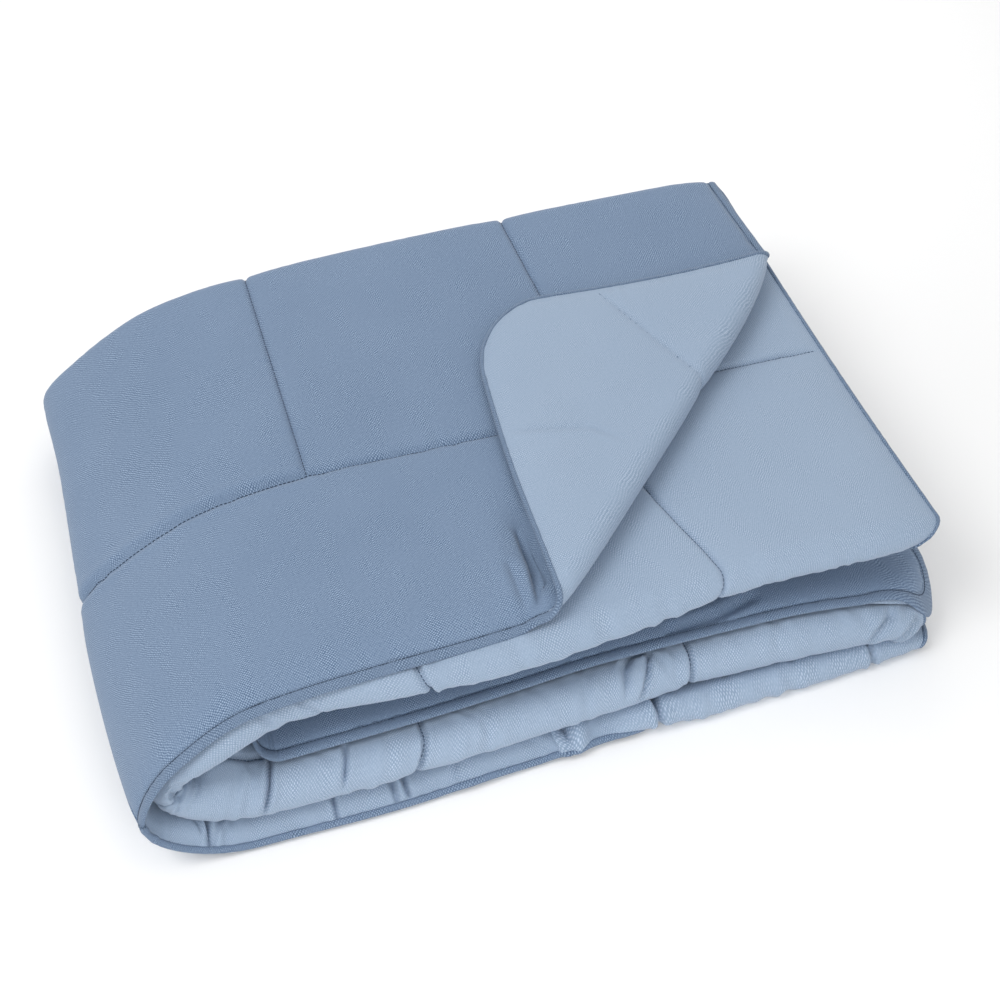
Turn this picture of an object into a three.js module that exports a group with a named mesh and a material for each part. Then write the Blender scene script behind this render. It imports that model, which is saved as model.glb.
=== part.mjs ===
// Two-tone quilt, folded in four along its length and in half across its width, with the front
// right corner of its top layer turned back. Millimetres, +Z up, the front of the pack faces -Y.
//
// Two lengths name a point of the cloth. "across" runs over the width: from the right edge of the
// pack's upper half, round the half fold at the left, to the right edge of the lower half.
// "along" runs over the length: from the front edge of the outermost panel, back and forth, to the
// front edge of the innermost one.
import * as THREE from "three";

// Flat quilt
const CELL = 258; // side of a quilted square
const BORDER = 230; // outermost squares, from the last sewn line to the edge
const INNER_CELLS_ACROSS = 4;
const INNER_CELLS_ALONG = 6;
const WIDTH = 2 * BORDER + INNER_CELLS_ACROSS * CELL;
const LENGTH = 2 * BORDER + INNER_CELLS_ALONG * CELL;
const CORNER_RADIUS = 90;

// Padding, from the middle of the cloth to one of its two faces
const HALF_FULL = 7.2;
const HALF_SEAM = 3.6; // at the sewn lines of the quilting
const HALF_EDGE = 2.4; // beside the binding
const RISE = 60; // distance from a sewn line or the binding at which the padding is full

// Edge binding, and the gap between neighbouring pieces
const BINDING_WIDTH = 10;
const BINDING_THICKNESS = 6.4;
const BINDING_SECTION = [
  { out: -1, up: 0 },
  { out: -1, up: -0.75 },
  { out: 0, up: -1 },
  { out: 0.75, up: -0.65 },
  { out: 1, up: 0 },
  { out: 0.75, up: 0.65 },
  { out: 0, up: 1 },
  { out: -1, up: 0.75 },
];
const GAP = 0.3;
const BINDING_GAP = 0.5;

// Folded pack, before it settles
const PACK_LENGTH = 703;
const PACK_DEPTH = 520;
const PACK_HEIGHT = 150;
const MIDDLE_HEIGHT = PACK_HEIGHT / 2;
const CENTRE_X = 371.8; // the settled pack is centred over the origin
const CENTRE_Y = 252.8;
const FOLD_REACH = 110; // along X, of the half fold at the left
const FOLD_START = PACK_LENGTH - FOLD_REACH; // across, where the half fold starts
const FOLD_NOSE = 728; // across, where it turns under
const FOLD_SLACK = 46; // the half fold starts this much further right for the innermost layer
const EDGE_DROOP = 3.2; // a free edge hangs this much below its layer
const EDGE_DROOP_RUN = 60;

// Panels of the length from the outside of the pack inwards: how deep the middle of the cloth lies
// below the pack's outside, where the nose of its half fold lies, where its cloth ends, which front
// edge or fold it has in the upper and the lower half, how far its right edges reach past the pack's
// end at the front, where its sewn line lies, and how far from the sewn lines its mesh has rows.
const SHOWN_STEPS = [-RISE, -15, 0, 15, RISE];
const HIDDEN_STEPS = [-RISE, 0, RISE];
const PANELS = [
  {
    depth: HALF_FULL,
    nose: 11,
    end: 488,
    upper: { front: "top", past: 0 },
    lower: { front: "bottom", past: 36 },
    sewn: { along: 230, y: 234 },
    steps: SHOWN_STEPS,
  },
  {
    depth: 24.8,
    nose: 31,
    end: 986,
    upper: { front: "topFold", past: 9 },
    lower: { front: "bottomFold", past: 6 },
    sewn: { along: 746, y: 267 },
    steps: SHOWN_STEPS,
  },
  {
    depth: 49,
    nose: 52,
    end: 1508,
    upper: { front: "topFold", past: -24 },
    lower: { front: "bottomFold", past: 4 },
    sewn: { along: 1262, y: 258 },
    steps: HIDDEN_STEPS,
  },
  {
    depth: 64,
    nose: 124,
    end: LENGTH,
    upper: { front: "topInner", past: -30 },
    lower: { front: "bottomInner", past: 44 },
    sewn: { along: 1778, y: 254 },
    steps: HIDDEN_STEPS,
  },
];
const FOLD_END = 150; // the half fold of the innermost panel is filled from here on
const NOSES = [
  ...PANELS.map(({ depth, nose }) => ({ x: depth, nose })),
  { x: MIDDLE_HEIGHT, nose: FOLD_END },
];
const INNER_PADDING = 0.75; // the innermost panel is pressed to this share of its padding
const FOLD_PADDING = 0.65; // and so are the inner two where they turn round the half fold
// The folds along the back and the front, at the end of each panel but the last
const TURN_RADII = PANELS.slice(1).map(({ depth }, k) => (depth - PANELS[k].depth) / 2);
const TURN_FILL = 0.8; // share of a fold's radius that the padding may take
const turnStart = (k) => PANELS[k].end - Math.PI * (TURN_RADII[k] ?? 0);

// How far each front edge or fold lies behind the front of the pack, from its left end to its right
const FRONTS = [
  { x: 60, top: 10, topFold: 6, topInner: 46, bottomInner: 19, bottomFold: -2, bottom: -11 },
  { x: 130, top: 19, topFold: 20, topInner: 48, bottomInner: 19, bottomFold: -3, bottom: -9 },
  { x: 220, top: 25, topFold: 12, topInner: 50, bottomInner: 22, bottomFold: -2, bottom: -8 },
  { x: 300, top: 29, topFold: 14, topInner: 58, bottomInner: 27, bottomFold: 3, bottom: -3 },
  { x: 380, top: 35, topFold: 22, topInner: 64, bottomInner: 33, bottomFold: 8, bottom: 0 },
  { x: 510, top: 43, topFold: 35, topInner: 74, bottomInner: 33, bottomFold: 15, bottom: 0 },
  { x: 640, top: 48, topFold: 33, topInner: 76, bottomInner: 27, bottomFold: 11, bottom: -1 },
  { x: 705, top: 52, topFold: 30, topInner: 78, bottomInner: 16, bottomFold: 12, bottom: 6 },
];

// Settling: heights of the two halves, and the share of them that is left along the pack
const UPPER_HEIGHT = 68;
const LOWER_HEIGHT = 88;
const HEIGHT_SHARES = [
  { x: 0, front: 0.62, middle: 0.56, back: 0.56 },
  { x: 39, front: 0.8, middle: 0.63, back: 0.64 },
  { x: 69, front: 0.87, middle: 0.71, back: 0.72 },
  { x: 119, front: 0.96, middle: 0.85, back: 0.85 },
  { x: 169, front: 0.98, middle: 0.94, back: 0.92 },
  { x: 219, front: 0.98, middle: 0.98, back: 0.96 },
  { x: 330, front: 0.98, middle: 0.985, back: 1.01 },
  { x: 469, front: 0.98, middle: 0.99, back: 1.04 },
  { x: PACK_LENGTH, front: 1.05, middle: 1.0, back: 1.06 },
];
const LEFT_RUN = 210; // length of the left end that settles
const FRONT_LEFT_INSET = 28; // the half fold draws in towards the front
const FRONT_LEFT_RUN = 260;
const BACK_LEFT_INSET = 12; // and its back corner is rounded off
const BACK_LEFT_ROUND = 6;
const BACK_LEFT_FROM = 400;
const RIGHT_DROOP = 0.24; // share of its height that the lower half loses at the right
const RIGHT_DROOP_FROM = 560;
const RIGHT_DROOP_TO = 760;

// Turned-back corner: the crease runs at 45 degrees, where x minus y is CREASE
const CREASE = 308;
const CREASE_RADIUS = 11;
const CREASE_CLOTH = Math.PI * CREASE_RADIUS;
const CREASE_STEPS = 8;
const CREASE_CLEAR = 14; // no column of the mesh is nearer to the roll

// Colours of the cloth
const FACE_COLOUR = 0x7d95b3;
const REVERSE_COLOUR = 0x9fb3cb;
const BINDING_COLOUR = 0x758cab;

// Mesh: columns at the half fold, measured from the sewn line before it, and the counts of steps
const FOLD_COLUMNS = [32, 60, 87, 111, 146, 184, 222];
const EDGE_COLUMN = 70;
const TURN_STEPS = 4;
const TURN_CLEAR = 10; // no row of the quilting is nearer to a fold
const CORNER_STEPS = 3;
const FLOOR_SNAP = 0.8; // what is nearer than this to the floor lies on it

const clamp = (value, low, high) => Math.min(high, Math.max(low, value));
const mix = (a, b, share) => a + (b - a) * share;
const smooth = (value, from, to) => {
  const t = clamp((value - from) / (to - from), 0, 1);
  return t * t * (3 - 2 * t);
};

// A smooth curve through one column of a table whose rows are in order of x.
function tableCurve(rows, column, x) {
  const last = rows.length - 1;
  const i = clamp(rows.findIndex((row) => row.x > x) - 1, 0, last - 1);
  if (x >= rows[last].x) return rows[last][column];
  if (x <= rows[0].x) return rows[0][column];
  const slope = (k) => {
    const before = rows[Math.max(k - 1, 0)];
    const after = rows[Math.min(k + 1, last)];
    return (after[column] - before[column]) / (after.x - before.x);
  };
  const span = rows[i + 1].x - rows[i].x;
  const t = (x - rows[i].x) / span;
  const t2 = t * t;
  const t3 = t2 * t;
  return (
    (2 * t3 - 3 * t2 + 1) * rows[i][column] +
    (t3 - 2 * t2 + t) * span * slope(i) +
    (3 * t2 - 2 * t3) * rows[i + 1][column] +
    (t3 - t2) * span * slope(i + 1)
  );
}

// How far up its full height the pack stands at a place seen from above.
function heightShare(x, y) {
  const t = clamp(y / PACK_DEPTH, 0, 1);
  const [front, middle, back] = ["front", "middle", "back"].map((c) =>
    tableCurve(HEIGHT_SHARES, c, x),
  );
  return front * (2 * t - 1) * (t - 1) + middle * 4 * t * (1 - t) + back * t * (2 * t - 1);
}

// The half fold: angle round it, from 90 degrees on the upper half to -90 on the lower one.
function foldAngle(across) {
  const under = WIDTH - FOLD_START;
  const turn =
    across < FOLD_NOSE
      ? (across - FOLD_START) / (FOLD_NOSE - FOLD_START)
      : 1 + (across - FOLD_NOSE) / (under - FOLD_NOSE);
  return (Math.PI / 2) * (1 - clamp(turn, 0, 2));
}

// Number of the panel that holds a place along the quilt.
const panelNumber = (along) => PANELS.findIndex(({ end }) => along <= end + 1e-6);

// How far the right edge reaches past the pack's end at a depth, on the upper and the lower half.
function reachPast(depth, half) {
  const k = clamp(PANELS.findIndex((panel) => panel.depth > depth) - 1, 0, PANELS.length - 2);
  const [near, far] = depth >= PANELS[3].depth ? [PANELS[3], PANELS[3]] : [PANELS[k], PANELS[k + 1]];
  const share = near === far ? 0 : clamp((depth - near.depth) / (far.depth - near.depth), 0, 1);
  return mix(near[half].past, far[half].past, share);
}

// Where the half fold of a layer starts, and how far it reaches from there to its nose.
function foldSize(depth) {
  const start = FOLD_REACH + FOLD_SLACK * Math.pow(depth / MIDDLE_HEIGHT, 2);
  return { start, reach: start - tableCurve(NOSES, "nose", depth) };
}

// Distance along X of a place at an angle round the half fold, at its layer's depth.
function acrossToX(across, angle, depth, y) {
  const upper = (1 + Math.sin(angle)) / 2;
  const past = mix(reachPast(depth, "lower"), reachPast(depth, "upper"), upper) * (1 - y / PACK_DEPTH);
  const { start, reach } = foldSize(depth);
  const share = 1 - Math.min(across, WIDTH - across, FOLD_START) / FOLD_START;
  return mix(start, PACK_LENGTH + past, share) - reach * Math.cos(angle);
}

// The back-and-forth fold: distance from the front, and depth below the outside of the pack.
function layerSection(across, along) {
  const angle = foldAngle(across);
  const upper = (1 + Math.sin(angle)) / 2;
  const k = panelNumber(along);
  const { depth, end, sewn, ...halves } = PANELS[k];
  const x = acrossToX(across, angle, HALF_FULL, PACK_DEPTH);
  const frontOf = ({ front }) => tableCurve(FRONTS, front, x);
  const edge = mix(frontOf(halves.lower), frontOf(halves.upper), upper);
  const goesBack = k % 2 === 0;
  const frontTurn = k === 1 || k === 2 ? HALF_FULL + TURN_RADII[1] : 0;
  const front = edge + frontTurn;
  const back = PACK_DEPTH - HALF_FULL - TURN_RADII[0];
  const start = k > 0 ? PANELS[k - 1].end : 0;
  const turnsAt = turnStart(k);
  if (along <= turnsAt) {
    const [from, to] = goesBack ? [front, back] : [back, front];
    const y =
      along < sewn.along
        ? mix(from, sewn.y, (along - start) / (sewn.along - start))
        : mix(sewn.y, to, (along - sewn.along) / (turnsAt - sewn.along));
    return { y, depth };
  }
  const radius = TURN_RADII[k];
  const turned = (along - turnsAt) / radius;
  const bulge = radius * Math.sin(turned);
  return {
    y: goesBack ? back + bulge : front - bulge,
    depth: depth + radius * (1 - Math.cos(turned)),
  };
}

// Distance past the crease, measured square to it on the flat panel.
const pastCrease = (x, y) => (x - y - CREASE) / Math.SQRT2;

// Rolls the corner beyond the crease back over its own panel.
function turnBack(x, y) {
  const past = pastCrease(x, y);
  if (past <= 0) return { x, y, lift: 0 };
  const angle = Math.min(past / CREASE_RADIUS, Math.PI);
  const reach = CREASE_RADIUS * Math.sin(angle) - Math.max(past - CREASE_CLOTH, 0);
  const shift = (reach - past) / Math.SQRT2;
  return { x: x + shift, y: y - shift, lift: CREASE_RADIUS * (1 - Math.cos(angle)) };
}

// Settles a point of the ideal pack.
function settle(x, y, z) {
  const left = Math.pow(clamp(1 - x / LEFT_RUN, 0, 1), 2);
  const nearFront = Math.pow(clamp(1 - y / FRONT_LEFT_RUN, 0, 1), 2);
  const nearBack = Math.pow(clamp(y / PACK_DEPTH, 0, 1), 4);
  const atBack = Math.pow(clamp((y - BACK_LEFT_FROM) / (PACK_DEPTH - BACK_LEFT_FROM), 0, 1), 2);
  const over = (z - MIDDLE_HEIGHT) / MIDDLE_HEIGHT;
  const droop = 1 - RIGHT_DROOP * smooth(x, RIGHT_DROOP_FROM, RIGHT_DROOP_TO);
  const base = over > 0 ? LOWER_HEIGHT + UPPER_HEIGHT * over : LOWER_HEIGHT * (1 + over) * droop;
  return new THREE.Vector3(
    x + left * (FRONT_LEFT_INSET * nearFront + BACK_LEFT_ROUND * atBack),
    y - BACK_LEFT_INSET * left * nearBack,
    base * heightShare(x, y),
  );
}

// Settled place of a layer at an angle round the half fold.
const layerPlace = (x, y, depth, angle) =>
  settle(x, y, MIDDLE_HEIGHT + (MIDDLE_HEIGHT - depth) * Math.sin(angle));

// Middle of the cloth at a point of the flat quilt, in the settled pack.
function clothPoint(across, along) {
  const angle = foldAngle(across);
  const panel = PANELS[panelNumber(along)];
  const { y: flatY, depth } = layerSection(across, along);
  let y = flatY;
  let x = acrossToX(across, angle, depth, y);
  let lift = 0;
  if (panel === PANELS[0] && across < FOLD_START) ({ x, y, lift } = turnBack(x, y));
  const point = layerPlace(x, y, depth, angle);
  const fromEdge = Math.min(along, LENGTH - along, across, WIDTH - across);
  point.z += lift - EDGE_DROOP * Math.pow(clamp(1 - fromEdge / EDGE_DROOP_RUN, 0, 1), 2);
  return point;
}

// Share of the full distance between layers that is left where the pack has settled.
function pressShare(across, along) {
  const { y, depth } = layerSection(across, along);
  const at = (u, v, sunk) => {
    const angle = foldAngle(u);
    return layerPlace(acrossToX(u, angle, depth + sunk, v), v, depth + sunk, angle);
  };
  const here = at(across, y, 0);
  const byAcross = at(across + 1, y, 0).sub(here);
  const byY = at(across, y + 1, 0).sub(here);
  const down = at(across, y, 1).sub(here);
  const [, second, third, last] = PANELS;
  const turning = Math.pow(Math.cos(foldAngle(across)), 2) * smooth(depth, second.depth, third.depth);
  const pressed =
    mix(1, INNER_PADDING, smooth(depth, third.depth, last.depth)) * mix(1, FOLD_PADDING, turning);
  const spacing = Math.abs(down.dot(byY.cross(byAcross).normalize()));
  return pressed * Math.min(spacing, LOWER_HEIGHT / MIDDLE_HEIGHT);
}

// Radius of the half fold's bend at a place of a layer.
function foldRadius(across, along) {
  const angle = foldAngle(across);
  const { y, depth } = layerSection(across, along);
  const { reach } = foldSize(depth);
  const tall = (MIDDLE_HEIGHT - depth) * heightShare(acrossToX(across, angle, depth, y), y);
  const bend = Math.hypot(reach * Math.sin(angle), tall * Math.cos(angle));
  return Math.pow(bend, 3) / (reach * tall);
}

// Direction from the middle of the cloth towards its darker face.
function faceNormal(across, along) {
  const step = 0.5;
  const side = (u, v) => clothPoint(clamp(u, 0, WIDTH), clamp(v, 0, LENGTH));
  const byAcross = side(across + step, along).sub(side(across - step, along));
  const byAlong = side(across, along + step).sub(side(across, along - step));
  return byAlong.cross(byAcross).normalize();
}

// Padding from the middle of the cloth to one face: thin at sewn lines and edges, full between.
// The lines across the width run from edge to edge, those along the length between the outermost.
function halfThickness(across, along) {
  const rise = (distance) => {
    const left = 1 - clamp(distance / RISE, 0, 1);
    return Math.sqrt(1 - left * left);
  };
  const fromEdge = (at, size) => Math.min(at, size - at) - BINDING_WIDTH;
  const fromLine = (at, size) => {
    const inCell = (at - BORDER + 10 * CELL) % CELL;
    const inner = at > BORDER - CELL / 2 && at < size - BORDER + CELL / 2;
    return inner ? Math.min(inCell, CELL - inCell) : CELL;
  };
  const inside = along > BORDER && along < LENGTH - BORDER;
  const quilted = rise(inside ? fromLine(across, WIDTH) : CELL) * rise(fromLine(along, LENGTH));
  const edged = rise(fromEdge(across, WIDTH)) * rise(fromEdge(along, LENGTH));
  return mix(HALF_EDGE, mix(HALF_SEAM, HALF_FULL, quilted), edged);
}

// How far the rounded corner cuts into a row at a distance from the edge of the quilt.
function cornerInset(fromEdge, inset) {
  const radius = CORNER_RADIUS - inset;
  const below = clamp(CORNER_RADIUS - fromEdge, 0, radius);
  return CORNER_RADIUS - Math.sqrt(radius * radius - below * below);
}

// Places along one edge of a rounded corner, from the edge of the quilt inwards.
function cornerSteps(inset) {
  return Array.from({ length: CORNER_STEPS + 1 }, (_, i) => {
    const angle = ((Math.PI / 2) * i) / CORNER_STEPS;
    return CORNER_RADIUS - (CORNER_RADIUS - inset) * Math.cos(angle);
  });
}

// Places in order, without those that crowd the one before.
const inOrder = (places, spacing) =>
  places.sort((a, b) => a - b).filter((at, i, all) => i === 0 || at - all[i - 1] > spacing);

// Where the crease's roll crosses a line of constant "along" or of constant "across".
const creaseSteps = Array.from(
  { length: CREASE_STEPS + 1 },
  (_, i) => (CREASE_CLOTH * i) / CREASE_STEPS,
);
function solve(unknown, low, high) {
  const rising = unknown(high) > unknown(low);
  for (let i = 0; i < 60; i++) {
    const half = (low + high) / 2;
    if (unknown(half) > 0 === rising) high = half;
    else low = half;
  }
  return (low + high) / 2;
}
function pastAt(across, along) {
  const { y, depth } = layerSection(across, along);
  return pastCrease(acrossToX(across, Math.PI / 2, depth, y), y);
}
const acrossAtCrease = (along, past) => solve((u) => pastAt(u, along) - past, -400, FOLD_START);
const alongAtCrease = (across, past) =>
  solve((v) => pastAt(across, v) - past, 0, turnStart(0));

// Rows of the mesh along the quilt, between the corners' first and last ones.
function meshRows() {
  const corner = cornerSteps(BINDING_WIDTH);
  const turns = PANELS.slice(0, -1).flatMap(({ end }, k) =>
    Array.from({ length: TURN_STEPS + 1 }, (_, i) => mix(turnStart(k), end, i / TURN_STEPS)),
  );
  const inTurn = (at) => PANELS.some(({ end }, k) => at > turnStart(k) - TURN_CLEAR && at < end + TURN_CLEAR);
  const lines = Array.from({ length: INNER_CELLS_ALONG + 1 }, (_, i) => BORDER + i * CELL);
  const quilted = lines.flatMap((line) => {
    const panel = PANELS.find(({ end }) => line <= end);
    return panel.steps.map((step) => line + step).filter((at) => !inTurn(at));
  });
  const crease = [0, 2, 4, 6, 8].map((i) => alongAtCrease(BINDING_WIDTH, creaseSteps[i]));
  return inOrder([...corner, ...corner.map((v) => LENGTH - v), ...turns, ...quilted, ...crease], 4);
}

// Columns of one row, each with a key that pairs it with the next row's columns. Those beyond the
// crease come first, then those on its roll, then the rest.
function meshColumns(along) {
  const first = cornerInset(Math.min(along, LENGTH - along), BINDING_WIDTH);
  const shown = PANELS.find(({ end }) => along <= end + 1e-6).steps === SHOWN_STEPS;
  const half = (steps) => [
    EDGE_COLUMN,
    ...[BORDER, BORDER + CELL].flatMap((line) => steps.map((step) => line + step)),
    ...FOLD_COLUMNS.map((step) => BORDER + CELL + step),
  ].filter((at) => at <= BORDER + CELL || FOLD_COLUMNS.includes(at - BORDER - CELL));
  const places = [
    ...half(shown ? SHOWN_STEPS : HIDDEN_STEPS),
    WIDTH / 2,
    ...half(HIDDEN_STEPS).map((at) => WIDTH - at),
  ];
  const inside = inOrder(places, 4).filter((at) => at > first + 6 && at < WIDTH - first - 6);
  const rolled = along < turnStart(0) ? creaseSteps : [];
  const roll = rolled
    .map((past, i) => ({ at: acrossAtCrease(along, past), key: -1000 - i, roll: past }))
    .filter(({ at }) => at > first + 3)
    .reverse();
  const rollFrom = roll.length ? roll[0].at : first;
  const rollTo = roll.length ? roll[roll.length - 1].at : first;
  return [
    { at: first, key: -1e6 },
    ...inside.filter((at) => at < rollFrom - CREASE_CLEAR).map((at) => ({ at, key: at - 1e5 })),
    ...roll,
    ...inside.filter((at) => at > rollTo + CREASE_CLEAR).map((at) => ({ at, key: at })),
    { at: WIDTH - first, key: 1e6 },
  ];
}

// Points of a surface at a height above the middle of the cloth; "height" is a share of the padding
// added to half the gap between the two panels.
function placed(across, along, height) {
  const point = clothPoint(across, along);
  const k = panelNumber(along);
  const turn = along > turnStart(k) ? TURN_RADII[k] : Infinity;
  const most = TURN_FILL * Math.min(turn, foldRadius(across, along));
  const padding = Math.min(halfThickness(across, along) * pressShare(across, along), most) - GAP / 2;
  const away = Math.sign(height) * (GAP / 2) + (Math.abs(height) === 1 ? Math.sign(height) * padding : 0);
  return point.addScaledVector(faceNormal(across, along), away);
}

// A mesh from points and triangles, set down on the floor and centred over the origin.
function solid(name, points, triangles, colour) {
  const positions = points.flatMap(({ x, y, z }) => [
    x - CENTRE_X,
    y - CENTRE_Y,
    z < FLOOR_SNAP ? 0 : z,
  ]);
  const geometry = new THREE.BufferGeometry();
  geometry.setAttribute("position", new THREE.Float32BufferAttribute(positions, 3));
  geometry.setIndex(triangles.flat());
  geometry.computeVertexNormals();
  const material = new THREE.MeshStandardMaterial({ color: colour, roughness: 0.95, metalness: 0 });
  const mesh = new THREE.Mesh(geometry, material);
  mesh.name = name;
  return mesh;
}

// One quilted panel: its outer face, its inner face beside the other panel, and its rim.
function panelSolid(name, side, colour) {
  const rows = meshRows().map((along) => meshColumns(along).map((column) => ({ along, ...column })));
  let count = 0;
  rows.flat().forEach((vertex) => (vertex.id = count++));
  const strips = [];
  for (let r = 0; r + 1 < rows.length; r++) {
    const [near, far] = [rows[r], rows[r + 1]];
    let i = 0;
    let j = 0;
    while (i + 1 < near.length || j + 1 < far.length) {
      const nearKey = i + 1 < near.length ? near[i + 1].key : Infinity;
      const farKey = j + 1 < far.length ? far[j + 1].key : Infinity;
      if (nearKey <= farKey) {
        strips.push([near[i].id, far[j].id, near[i + 1].id]);
        i++;
        if (nearKey === farKey) {
          strips.push([near[i].id, far[j].id, far[j + 1].id]);
          j++;
        }
      } else {
        strips.push([near[i].id, far[j].id, far[j + 1].id]);
        j++;
      }
    }
  }
  const rim = [
    ...rows[0],
    ...rows.slice(1, -1).map((row) => row[row.length - 1]),
    ...rows[rows.length - 1].slice().reverse(),
    ...rows.slice(1, -1).map((row) => row[0]).reverse(),
  ].map(({ id }) => id);
  const band = rim.flatMap((a, i) => {
    const b = rim[(i + 1) % rim.length];
    return [
      [a, b, b + count],
      [a, b + count, a + count],
    ];
  });
  const inner = strips.map(([a, b, c]) => [a + count, c + count, b + count]);
  const triangles = [...strips, ...inner, ...band];
  const points = [
    ...rows.flat().map(({ at, along }) => placed(at, along, side)),
    ...rows.flat().map(({ at, along }) => placed(at, along, side * 0.5)),
  ];
  const turned = side > 0 ? triangles : triangles.map(([a, b, c]) => [a, c, b]);
  return solid(name, points, turned, colour);
}

// The outline of the cloth at the middle of the binding: places, and the way out of the cloth there.
// On the crease's roll the way out follows the crease.
function bindingPath() {
  const inset = (BINDING_WIDTH - BINDING_GAP) / 2;
  const [low, right, top] = [CORNER_RADIUS, WIDTH - CORNER_RADIUS, LENGTH - CORNER_RADIUS];
  const rows = meshRows().filter((v) => v > low + 1 && v < top - 1);
  const columns = (along) => meshColumns(along).filter(({ at }) => at > low + 1 && at < right - 1);
  const corner = (u, v, from) =>
    Array.from({ length: CORNER_STEPS + 1 }, (_, i) => {
      const angle = from + ((Math.PI / 2) * i) / CORNER_STEPS;
      const [du, dv] = [Math.cos(angle), Math.sin(angle)];
      const radius = CORNER_RADIUS - inset;
      return { u: u + radius * du, v: v + radius * dv, du, dv };
    });
  const front = columns(BINDING_WIDTH).map(({ at, roll }) =>
    roll === undefined
      ? { u: at, v: inset, du: 0, dv: -1 }
      : {
          u: acrossAtCrease(inset, roll),
          v: inset,
          du: (acrossAtCrease(0, roll) - acrossAtCrease(2 * inset, roll)) / (2 * inset),
          dv: -1,
        },
  );
  const upperRight = rows.map((v) => {
    const roll = pastAt(BINDING_WIDTH, v);
    return roll < -1e-6 || roll > CREASE_CLOTH + 1e-6
      ? { u: inset, v, du: -1, dv: 0 }
      : {
          u: inset,
          v: alongAtCrease(inset, roll),
          du: -1,
          dv: (alongAtCrease(0, roll) - alongAtCrease(2 * inset, roll)) / (2 * inset),
        };
  });
  return [
    ...front,
    ...corner(right, low, -Math.PI / 2),
    ...rows.map((v) => ({ u: WIDTH - inset, v, du: 1, dv: 0 })),
    ...corner(right, top, 0),
    ...columns(LENGTH - BINDING_WIDTH).reverse().map(({ at }) => ({ u: at, v: LENGTH - inset, du: 0, dv: 1 })),
    ...corner(low, top, Math.PI / 2),
    ...upperRight.reverse(),
    ...corner(low, low, Math.PI),
  ];
}

// The binding: its section carried round the outline.
function bindingSolid(name, colour) {
  const reach = (BINDING_WIDTH - BINDING_GAP) / 2;
  const path = bindingPath();
  const sides = BINDING_SECTION.length;
  const points = path.flatMap(({ u, v, du, dv }) => {
    const outer = clothPoint(u + du * reach, v + dv * reach);
    const inner = clothPoint(u - du * reach, v - dv * reach);
    const centre = outer.clone().add(inner).multiplyScalar(0.5);
    const out = outer.sub(inner).multiplyScalar(0.5);
    const up = faceNormal(u, v).multiplyScalar((BINDING_THICKNESS / 2) * pressShare(u, v));
    return BINDING_SECTION.map((corner) =>
      centre.clone().addScaledVector(out, corner.out).addScaledVector(up, corner.up),
    );
  });
  const triangles = path.flatMap((_, i) => {
    const next = ((i + 1) % path.length) * sides;
    const here = i * sides;
    return BINDING_SECTION.flatMap((_corner, k) => {
      const [a, b] = [here + k, here + ((k + 1) % sides)];
      const [c, d] = [next + ((k + 1) % sides), next + k];
      const below = k < sides / 2;
      return below ? [[a, b, d], [b, c, d]] : [[a, b, c], [a, c, d]];
    });
  });
  return solid(name, points, triangles, colour);
}

const quilt = new THREE.Group();
quilt.name = "quilt";
quilt.add(panelSolid("face_panel", 1, FACE_COLOUR));
quilt.add(panelSolid("reverse_panel", -1, REVERSE_COLOUR));
quilt.add(bindingSolid("edge_binding", BINDING_COLOUR));
export default quilt;
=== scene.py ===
import math

import bpy
import numpy as np
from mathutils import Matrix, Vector


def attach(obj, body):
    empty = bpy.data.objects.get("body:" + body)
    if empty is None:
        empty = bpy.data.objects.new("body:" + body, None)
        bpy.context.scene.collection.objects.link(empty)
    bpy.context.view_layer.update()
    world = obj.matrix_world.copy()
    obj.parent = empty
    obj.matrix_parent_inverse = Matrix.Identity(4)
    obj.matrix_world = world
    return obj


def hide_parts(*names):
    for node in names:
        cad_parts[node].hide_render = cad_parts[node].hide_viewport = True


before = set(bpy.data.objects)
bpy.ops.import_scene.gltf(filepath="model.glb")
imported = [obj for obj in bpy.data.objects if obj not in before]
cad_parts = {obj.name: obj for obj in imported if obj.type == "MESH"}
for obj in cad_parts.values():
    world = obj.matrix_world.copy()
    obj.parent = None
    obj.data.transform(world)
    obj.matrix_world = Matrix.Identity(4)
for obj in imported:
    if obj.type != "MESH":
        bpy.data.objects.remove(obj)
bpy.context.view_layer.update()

MM = 0.001
PLACE_SLACK = 1e-6
SHORTEST = 1e-9
NORMAL_STEP = 0.5

# Flat quilt
CELL = 258.0
BORDER = 230.0
INNER_CELLS_ACROSS = 4
INNER_CELLS_ALONG = 6
WIDTH = 2 * BORDER + INNER_CELLS_ACROSS * CELL
LENGTH = 2 * BORDER + INNER_CELLS_ALONG * CELL
CORNER_RADIUS = 90.0
LINES_ACROSS = [BORDER + i * CELL for i in range(INNER_CELLS_ACROSS + 1)]
LINES_ALONG = [BORDER + i * CELL for i in range(INNER_CELLS_ALONG + 1)]

# Padding, from the middle of the cloth to one of its two faces
HALF_FULL = 7.2
HALF_SEAM = 3.6
HALF_EDGE = 2.4
RISE = 60.0
GAP = 0.3

# Edge binding
BINDING_WIDTH = 10.0
BINDING_THICKNESS = 6.4
BINDING_GAP = 0.2
REVERSE_HEM = 4.7  # the binding's width on the reverse
HEM_UNDER = 2.0  # how far the cloth goes on under the binding, and how steeply it thins there
HEM_SLOPE = 0.6

# Folded pack, before it settles
PACK_LENGTH = 703.0
PACK_DEPTH = 520.0
MIDDLE_HEIGHT = 75.0
CENTRE_X = 371.8
CENTRE_Y = 252.8
FOLD_REACH = 110.0
FOLD_START = PACK_LENGTH - FOLD_REACH
FOLD_NOSE = 728.0
FOLD_SLACK = 46.0
EDGE_DROOP = 3.2
EDGE_DROOP_RUN = 60.0
HEM_DROOP = 7.0
HEM_DROOP_RUN = 34.0

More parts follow.
